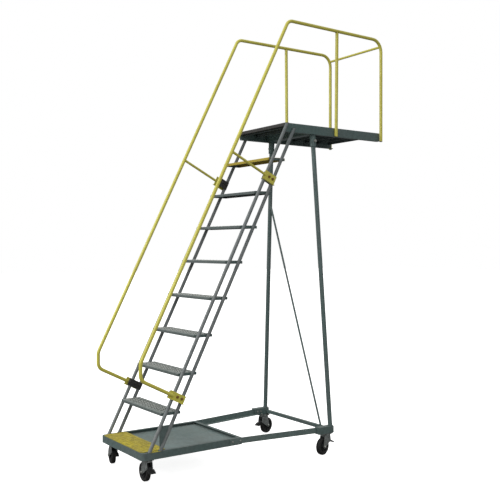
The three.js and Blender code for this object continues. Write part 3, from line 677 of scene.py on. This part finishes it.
def deck_planks():
    """Platform deck of gripping planks laid across, between a nosing strip and a rear edge strip."""
    low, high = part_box("platform_deck")
    first = low.y + DECK_STRIP
    width = (high.y - low.y - 2 * DECK_STRIP) / PLANKS
    columns = round((high.x - low.x) / DIAMOND_PITCH)
    sheet = Sheet(high.z)
    for plank in range(PLANKS):
        front = first + plank * width + PLANK_GAP
        rear = first + (plank + 1) * width - PLANK_GAP
        band_low = (low.x, front + TREAD_LAND)
        band_high = (high.x, rear - TREAD_LAND)
        xs = grip_band(sheet, band_low, band_high, columns, PLANK_ROWS)
        borders = [xs[0], *xs[1:-1:2], xs[-1]]
        folded_edge(sheet, borders, band_low[1], front, PLANK_FLANGE, RETURN_LIP / 2)
        folded_edge(sheet, borders, band_high[1], rear, PLANK_FLANGE, RETURN_LIP / 2)
    planks = piece("platform_planks", sheet.bm, DECK_GREY)
    thicken(planks)
    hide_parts("platform_deck")
    strips = bmesh.new()
    for edge, inward, lip in ((low.y, 1, NOSING_LIP), (high.y, -1, REAR_LIP)):
        web = edge + inward * STRIP_STEEL
        inner = edge + inward * (DECK_STRIP - PLANK_GAP)
        under = high.z - STRIP_STEEL
        outline = [(edge, high.z), (edge, high.z - lip), (web, high.z - lip)]
        outline += [(web, under), (inner, under), (inner, high.z)]
        add_run_across(strips, outline, low.x, high.x)
    soften(piece("platform_edge_strips", strips, DARK_ENAMEL), 0.0012)


def tread_buttons():
    """Staggered pressed buttons over the lowest tread."""
    low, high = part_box("bottom_tread")
    rows = int((high.y - low.y - 0.02) / BUTTON_PITCH[1])
    shares = ((1.0, -0.0005), (0.86, 0.0008), (0.5, 0.0015), (0.2, 0.0017))
    dome = [(BUTTON_R * share, height) for share, height in shares]
    bm = bmesh.new()
    for row in range(rows + 1):
        y = low.y + FIRST_BUTTONS + row * BUTTON_PITCH[1]
        staggered = 0.5 * BUTTON_PITCH[0] if row % 2 else 0.0
        chamfer = BUTTON_MARGIN if row == 0 else 0.0
        inset = BUTTON_MARGIN + staggered + chamfer
        count = int((high.x - low.x - 2 * inset) / BUTTON_PITCH[0])
        start = (low.x + high.x - count * BUTTON_PITCH[0]) / 2
        for k in range(count + 1):
            at = Matrix.Translation((start + k * BUTTON_PITCH[0], y, high.z))
            add_turned(bm, dome, at, 12)
    piece("bottom_tread_buttons", bm, WORN_TREAD, sharp=60)


for number in range(2, 9):
    grip_tread(f"tread_{number}", GREY_TREAD)
grip_tread("tread_9", YELLOW_TREAD)
deck_planks()
tread_buttons()


# ---- CAD nodes carried over with their finishes --------------------------------------------
REPLACED = ("tread_", "caster_wheel", "caster_axle", "platform_deck")
FINISHES = (  # how a node's name starts, its material, and the radius of its edges
    (("handrail", "mid_post", "upper_strut", "back_rail"), YELLOW, 0.0006),
    (("caster_plate", "caster_fork"), ZINC, 0.0012),
    (("brake_pedal",), BLACK, 0.0014),
    (("counterweight_plate",), PALE_PAN, 0.0012),
    (("bottom_tread",), WORN_TREAD, 0.0012),
    (("stringer",), PALE_STRINGER, 0.0005),
    (("rear_leg", "leg_brace"), SLATE, 0.0005),
    (("clamp_plate",), DARK_ENAMEL, 0.0009),
    (("base_side_rail",), RAIL_SLATE, 0.0011),
    (("base_front_frame",), BASE_SLATE, 0.0011),
    (("base_rear", "platform_side", "platform_beam", "leg_socket"), SLATE, 0.0011),
)

for node_name in nodes:
    if not node_name.startswith(REPLACED):
        _, finish, edge = next(row for row in FINISHES if node_name.startswith(row[0]))
        dress(node_name, finish, edge)


# ---- casters -------------------------------------------------------------------------------
def caster_place(corner):
    """Matrix of one caster: x along its trail, y along its axle, origin on the floor under its swivel."""
    swivel = Vector(joints[f"swivel_{corner}"]["pos_m"])
    across = Vector(joints[f"wheel_spin_{corner}"]["axis"])
    along = across.cross(Vector((0, 0, 1)))
    turn = Matrix((along, across, (0, 0, 1))).transposed().to_4x4()
    return Matrix.Translation((swivel.x, swivel.y, 0.0)) @ turn


def arc(centre, radius, start, end, steps):
    return [
        (centre[0] + radius * cos(radians(a)), centre[1] + radius * sin(radians(a)))
        for a in (start + (end - start) * k / steps for k in range(steps + 1))
    ]


def build_tyre(corner, axle):
    shoulder = 0.008
    w = WHEEL_HALF_W
    crown = [(WHEEL_R - 0.0006, -w * 0.3), (WHEEL_R, 0.0), (WHEEL_R - 0.0006, w * 0.3)]
    section = [(TYRE_BORE, -w + 0.004), (TYRE_BORE + 0.003, -w + 0.001), (TYRE_BORE + 0.006, -w)]
    section += arc((WHEEL_R - shoulder, -w + shoulder), shoulder, -90, -8, 6)
    section += crown
    section += arc((WHEEL_R - shoulder, w - shoulder), shoulder, 8, 90, 6)
    section += [(TYRE_BORE + 0.006, w), (TYRE_BORE + 0.003, w - 0.001), (TYRE_BORE, w - 0.004)]
    bm = bmesh.new()
    add_ring_turned(bm, section, axle, steps=72)
    tyre = piece(f"tyre_{corner}", bm, RUBBER, f"wheel_{corner}")
    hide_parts(f"caster_wheel_{corner}")


def build_hub(corner, axle):
    """Moulded wheel centre: rim, dished web with ribs, and a steel bearing sleeve."""
    bore, boss, web, rim = 0.0085, 0.017, 0.0035, TYRE_BORE - 0.0002
    half = WHEEL_HALF_W
    section = [(bore, -half), (boss - 0.001, -half), (boss, -half + 0.001), (boss + 0.001, -web)]
    section += [(rim - 0.005, -web), (rim - 0.003, -half + 0.003), (rim, -half + 0.003)]
    section += [(radius, -height) for radius, height in reversed(section)]
    bm = bmesh.new()
    add_ring_turned(bm, section, axle, steps=48)
    for k in range(SPOKES):
        spoke = axle @ Matrix.Rotation(2 * pi * k / SPOKES, 4, "Z")
        for side in (-1, 1):
            faces = sorted((side * web * 0.8, side * (half - 0.006)))
            add_box(bm, (boss - 0.001, -0.0018, faces[0]), (rim - 0.003, 0.0018, faces[1]), spoke)
    hub = piece(f"hub_{corner}", bm, HUB_BLACK, f"wheel_{corner}")
    soften(hub, 0.0006)
    sleeve = bmesh.new()
    reach = 0.0178
    inner = 0.0064
    add_ring_turned(sleeve, [(inner, -reach), (bore, -reach), (bore, reach), (inner, reach)], axle, 32)
    piece(f"bearing_sleeve_{corner}", sleeve, BOLT_ZINC, f"wheel_{corner}")


def build_axle(corner, axle):
    """Axle bolt: hexagon head one side, lock nut with its thread end the other."""
    bm = bmesh.new()
    reach = FORK_HALF_W + 0.0004
    nut_side = axle @ Matrix.Translation((0, 0, -reach))
    add_stud(bm, nut_side, AXLE_R, 2 * reach + 0.009)
    add_hex_head(bm, axle @ Matrix.Translation((0, 0, reach)), AXLE_ACROSS)
    add_hex_head(bm, nut_side @ Matrix.Rotation(pi, 4, "X"), AXLE_ACROSS)
    bolt = piece(f"axle_bolt_{corner}", bm, BOLT_ZINC, f"fork_{corner}", sharp=25)
    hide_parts(f"caster_axle_{corner}")


def build_swivel_head(corner, place):
    """Ball race ring round the crown, and the kingpin nut inside the fork."""
    bm = bmesh.new()
    race = [(0.0332, 0.1492), (0.0362, 0.1500), (0.0374, 0.1520)]
    race += [(0.0374, 0.1545), (0.0355, 0.1568), (0.0332, 0.1572)]
    add_ring_turned(bm, race, place, 56)
    add_hex_head(bm, place @ Matrix.Translation((0, 0, 0.1418)) @ Matrix.Rotation(pi, 4, "X"), M12_ACROSS)
    piece(f"swivel_head_{corner}", bm, ZINC, f"fork_{corner}", sharp=25)


def build_pedal_ribs(corner, place):
    """Ribbed rubber pad on the brake pedal's tread."""
    reach = PEDAL_HIGH - PEDAL_LOW
    length = reach.length
    pivot = Vector(joints[f"brake_{corner}"]["pos_m"])
    tread = Matrix.Translation(pivot) @ place.to_3x3().to_4x4()
    tread = tread @ Matrix.Translation(PEDAL_LOW) @ Matrix.Rotation(-atan2(reach.z, reach.x), 4, "Y")
    bm = bmesh.new()
    for k in range(PEDAL_RIBS):
        x = length * (0.16 + 0.165 * k)
        add_box(bm, (x, -0.0225, -0.0005), (x + 0.0032, 0.0225, 0.0016), tread)
    pad = piece(f"pedal_pad_{corner}", bm, RUBBER, f"pedal_{corner}")
    soften(pad, 0.0005)


def build_plate_bolts(corner):
    """Four bolts through each caster's top plate."""
    low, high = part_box(f"caster_plate_{corner}")
    bm = bmesh.new()
    for x in (low.x + 0.012, high.x - 0.012):
        for y in (low.y + 0.011, high.y - 0.011):
            add_hex_head(bm, facing((x, y, low.z), (0, 0, -1)), M8_ACROSS)
            add_stud(bm, facing((x, y, low.z), (0, 0, 1)), 0.004, 0.017)
            add_hex_head(bm, facing((x, y, high.z + 0.0044), (0, 0, 1)), M8_ACROSS)
    piece(f"plate_bolts_{corner}", bm, BOLT_ZINC, sharp=25)


for corner_name in CASTERS:
    stand = caster_place(corner_name)
    spin = Vector(joints[f"wheel_spin_{corner_name}"]["pos_m"])
    axle_line = facing(spin, joints[f"wheel_spin_{corner_name}"]["axis"])
    build_tyre(corner_name, axle_line)
    build_hub(corner_name, axle_line)
    build_axle(corner_name, axle_line)
    build_swivel_head(corner_name, stand)
    build_pedal_ribs(corner_name, stand)
    build_plate_bolts(corner_name)


# ---- fasteners -----------------------------------------------------------------------------
def on_flight(x, n, t):
    """Point on the flight: x across, n behind the front stringer's axis, t up along it."""
    y = FLIGHT_Y0 + n * cos(SLOPE) + t * sin(SLOPE)
    return Vector((x, y, t * cos(SLOPE) - n * sin(SLOPE)))


def add_nut_and_thread(bm, point, direction, grip, across, shank):
    """Nut on the far side of the grip from a point, with the bolt's shank and thread end."""
    out = Vector(direction)
    inside = Vector(point) - out * grip
    add_stud(bm, facing(inside - out * THREAD_PAST_NUT, out), shank, grip + THREAD_PAST_NUT)
    add_hex_head(bm, facing(inside, -out), across)


def bracket_bolts():
    """Bolts from the rail brackets through to the clamp plates inside the stringers."""
    for label, side in SIDES:
        out = Vector((side, 0, 0))
        heads = bmesh.new()
        nuts = bmesh.new()
        for n, t in BRACKET_BOLTS:
            outside = on_flight(side * BRACKET_OUTSIDE, n, t)
            add_hex_head(heads, facing(outside, out), M10_ACROSS)
            add_nut_and_thread(nuts, outside, out, BRACKET_OUTSIDE - BRACKET_INSIDE, M10_ACROSS, M10_SHANK)
        piece(f"bracket_bolts_{label}", heads, RUSTY_YELLOW, sharp=25)
        piece(f"bracket_nuts_{label}", nuts, DARK_ENAMEL, sharp=25)


def frame_bolts():
    """Bolts of the rail laps, rear corners and leg sockets."""
    for label, side in SIDES:
        out = Vector((side, 0, 0))
        bm = bmesh.new()
        for y in LAP_BOLTS_Y:
            face = (side * LAP_FACE_X, y, LAP_BOLT_Z)
            add_hex_head(bm, facing(face, out), M8_ACROSS)
            add_nut_and_thread(bm, face, out, LAP_GRIP, M8_ACROSS, M8_SHANK)
        for y in CORNER_BOLTS_Y:
            add_hex_head(bm, facing((side * CORNER_INNER_X, y, CORNER_BOLT_Z), -out), M8_ACROSS)
        x, y, z = SOCKET_BOLT
        add_hex_head(bm, facing((side * x, y, z), out), M12_ACROSS)
        piece(f"frame_bolts_{label}", bm, BOLT_ZINC, sharp=25)


# ---- welds, gusset and plugs -----------------------------------------------------------------
def ring_points(centre, radius, start=0.0, end=360.0, stretch_y=1.0):
    points = []
    for k in range(RING_STEPS + 1):
        a = radians(start + (end - start) * k / RING_STEPS)
        points.append((centre[0] + radius * cos(a), centre[1] + radius * stretch_y * sin(a), centre[2]))
    return points


def coped_points(origin, away, along, radius, rail_radius):
    """Seam where a tube leaving in one direction meets the side of a rail running along another."""
    away = Vector(away).normalized()
    along = (Vector(along) - away * Vector(along).dot(away)).normalized()
    across = away.cross(along)
    points = []
    for k in range(RING_STEPS + 1):
        a = 2 * pi * k / RING_STEPS
        side = radius * cos(a)
        reach = max(rail_radius**2 - side**2, 0.0) ** 0.5
        points.append(Vector(origin) + across * side + along * radius * sin(a) + away * reach)
    return points


def tread_welds():
    """Short beads where each tread's ends meet the stringers, above and below."""
    bm = bmesh.new()
    for number in range(2, 10):
        low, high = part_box(f"tread_{number}")
        levels = ((high.z - 0.0006, 0.0), (low.z + 0.0012, -0.5 * (high.z - low.z)))
        for _, side in SIDES:
            x = side * (STRINGER_X - TUBE_R - 0.0003)
            for offset in (0.0, STRINGER_PITCH_Y):
                y = FLIGHT_Y0 + offset + high.z * LEAN
                for z, shift in levels:
                    points = [(x, y + shift + 0.0018 * k, z) for k in range(-5, 6)]
                    add_bead(bm, points, 0.0021)
    piece("tread_welds", bm, SLATE_WELD, sharp=60)


def frame_welds():
    """Beads of the stringers' feet, the legs' two ends, the cross rail and the side rails' ends."""
    bm = bmesh.new()
    tilt = 1 / cos(SLOPE)
    rail_low, rail_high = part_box("base_side_rail_right")
    cross_low, cross_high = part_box("base_rear_cross_rail")
    rail_end = rail_high.y + 0.0002
    cross_run = [CROSS_WELD_Y0 + 0.003 * k for k in range(9)]
    for _, side in SIDES:
        inward = (70, 290) if side > 0 else (-110, 110)
        for offset in (0.0, STRINGER_PITCH_Y):
            foot = (side * STRINGER_X, FLIGHT_Y0 + offset + BASE_TOP * LEAN, BASE_TOP + 0.0002)
            add_bead(bm, ring_points(foot, TUBE_R + 0.001, *inward, stretch_y=tilt), 0.0028)
        leg_foot = (side * LEG_FOOT[0], LEG_FOOT[1], CORNER_TOP + 0.0003)
        add_bead(bm, ring_points(leg_foot, 0.0184), 0.003)
        leg_top = (side * LEG_TOP[0], LEG_TOP[1], SIDE_BOTTOM - 0.0008)
        add_bead(bm, ring_points(leg_top, 0.0246), 0.0028)
        for z in (cross_low.z + 0.0002, cross_high.z - 0.0002):
            add_bead(bm, [(side * (cross_high.x - 0.0001), y, z) for y in cross_run], 0.0022)
        for z in (rail_low.z, rail_high.z):
            add_bead(bm, [(side * (0.390 + 0.0025 * k), rail_end, z) for k in range(7)], 0.0022)
        outer = side * (rail_high.x + 0.0002)
        add_bead(bm, [(outer, rail_end, rail_low.z + 0.0035 * k) for k in range(13)], 0.0022)
    piece("frame_welds", bm, SLATE_WELD, sharp=60)


def rail_welds():
    """Beads of the posts on the platform's sides, and of the middle posts under the top rails."""
    bm = bmesh.new()
    for _, side in SIDES:
        x = side * (POST_X - TUBE_R + 0.0022)
        for y, reach in ((MID_POST_Y, 0.0078), (REAR_POST_Y - 0.0122, 0.0)):
            for turn in (-1, 1):
                seam = [(x, y + turn * reach, SIDE_BOTTOM + 0.0025 + 0.006 * k) for k in range(11)]
                add_bead(bm, seam, 0.0023)
        top = Vector((side * RAIL_TOP[0], MID_POST_Y, RAIL_TOP[1]))
        add_bead(bm, coped_points(top, (0, 0, -1), (0, 1, 0), TUBE_R + 0.0004, TUBE_R + 0.0012), 0.0022)
    piece("rail_welds", bm, YELLOW_WELD, sharp=60)


def stringer_gusset():
    """Upright plate in front of the right rear stringer's foot, wider towards its top."""
    bm = bmesh.new()
    tube = FLIGHT_Y0 + STRINGER_PITCH_Y
    outline = [(GUSSET_FRONT, BASE_TOP), (tube + BASE_TOP * LEAN, BASE_TOP)]
    outline += [(tube + GUSSET_TOP * LEAN, GUSSET_TOP), (GUSSET_FRONT, GUSSET_TOP)]
    add_run_across(bm, outline, *GUSSET_X)
    soften(piece("stringer_gusset", bm, SLATE), 0.0008)


def end_plugs():
    """Black plugs in the open ends of posts, stringers and rear corners."""
    bm = bmesh.new()
    cap = [(0.0102, 0.0035), (0.0122, 0.0025), (0.0122, 0.0), (0.0102, -0.004)]
    tilted = Matrix.Diagonal((1.0, 1 / cos(SLOPE), 1.0, 1.0))
    wall = 0.0042
    for label, side in SIDES:
        for y in (MID_POST_Y, REAR_POST_Y):
            add_turned(bm, cap, facing((side * POST_X, y, SIDE_BOTTOM), (0, 0, -1)), 24)
        for offset, top in STRINGER_TOPS:
            at = Matrix.Translation((side * STRINGER_X, FLIGHT_Y0 + offset + top * LEAN, top))
            add_turned(bm, cap, at @ tilted, 24)
        low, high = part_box(f"base_rear_corner_{label}")
        front = (low.x + wall, high.y - 0.006, low.z + wall)
        rear = (high.x - wall, high.y + 0.001, high.z - wall)
        add_box(bm, front, rear)
    soften(piece("end_plugs", bm, BLACK), 0.0008)


bracket_bolts()
frame_bolts()
tread_welds()
frame_welds()
rail_welds()
stringer_gusset()
end_plugs()


# ---- floor, light and camera ---------------------------------------------------------------
def pale_floor():
    """Pale floor, bright to the camera but with little light thrown back up at the ladder."""
    g = Graph("pale_floor")
    tone = g.mix(g.noise(0.6, 3.0), rgb("f2f2f0"), rgb("f7f7f6"))
    seen = g.add("ShaderNodeBsdfPrincipled", {"Base Color": tone, "Roughness": 0.85})
    seen.inputs["Emission Color"].default_value = rgb("ffffff")
    seen.inputs["Emission Strength"].default_value = 0.85
    bounce = g.add("ShaderNodeBsdfDiffuse", {"Color": rgb("7c7c7c")})
    eye = g.add("ShaderNodeLightPath").outputs["Is Camera Ray"]
    shader = g.add("ShaderNodeMixShader", {0: eye, 1: bounce.outputs[0], 2: seen.outputs[0]})
    g.add("ShaderNodeOutputMaterial", {"Surface": shader.outputs[0]})
    bm = bmesh.new()
    bmesh.ops.create_grid(bm, x_segments=1, y_segments=1, size=40.0)
    mesh = bpy.data.meshes.new("floor")
    bm.to_mesh(mesh)
    bm.free()
    mesh.materials.append(g.material)
    floor = bpy.data.objects.new("floor", mesh)
    scene.collection.objects.link(floor)


def studio_world():
    """White backdrop for the camera; for the ladder, light that falls mostly from above."""
    world = bpy.data.worlds.new("studio")
    world.use_nodes = True
    tree = world.node_tree
    tree.nodes.clear()
    where = tree.nodes.new("ShaderNodeTexCoord")
    parts = tree.nodes.new("ShaderNodeSeparateXYZ")
    tree.links.new(where.outputs["Generated"], parts.inputs[0])
    climb = tree.nodes.new("ShaderNodeMapRange")
    for slot, value in ((1, -0.1), (2, 0.9), (3, SKY_LOW), (4, SKY_HIGH)):
        climb.inputs[slot].default_value = value
    tree.links.new(parts.outputs["Z"], climb.inputs[0])
    lit = tree.nodes.new("ShaderNodeBackground")
    tree.links.new(climb.outputs[0], lit.inputs["Strength"])
    backdrop = tree.nodes.new("ShaderNodeBackground")
    eye = tree.nodes.new("ShaderNodeLightPath")
    either = tree.nodes.new("ShaderNodeMixShader")
    tree.links.new(eye.outputs["Is Camera Ray"], either.inputs[0])
    tree.links.new(lit.outputs[0], either.inputs[1])
    tree.links.new(backdrop.outputs[0], either.inputs[2])
    tree.links.new(either.outputs[0], tree.nodes.new("ShaderNodeOutputWorld").inputs[0])
    for background in (lit, backdrop):
        background.inputs["Color"].default_value = (1.0, 1.0, 1.0, 1.0)
    scene.world = world


def studio_light():
    for name, place, energy, size in LAMPS:
        light = bpy.data.lights.new(name, "AREA")
        light.energy = energy
        light.size = size
        lamp = bpy.data.objects.new(name, light)
        lamp.matrix_world = facing(place, Vector(place) - LAMP_TARGET)
        scene.collection.objects.link(lamp)
    scene.view_settings.view_transform = "Standard"


def photo_camera():
    """Camera at the viewing angle of the reference."""
    data = bpy.data.cameras.new("camera")
    data.lens = CAMERA_LENS
    data.sensor_width = 36.0
    data.shift_x = CAMERA_SHIFT
    camera = bpy.data.objects.new("camera", data)
    camera.location = CAMERA_PLACE
    camera.rotation_euler = (radians(90) - CAMERA_DOWN, 0.0, CAMERA_TURN)
    scene.collection.objects.link(camera)
    scene.camera = camera


pale_floor()
studio_world()
studio_light()
photo_camera()
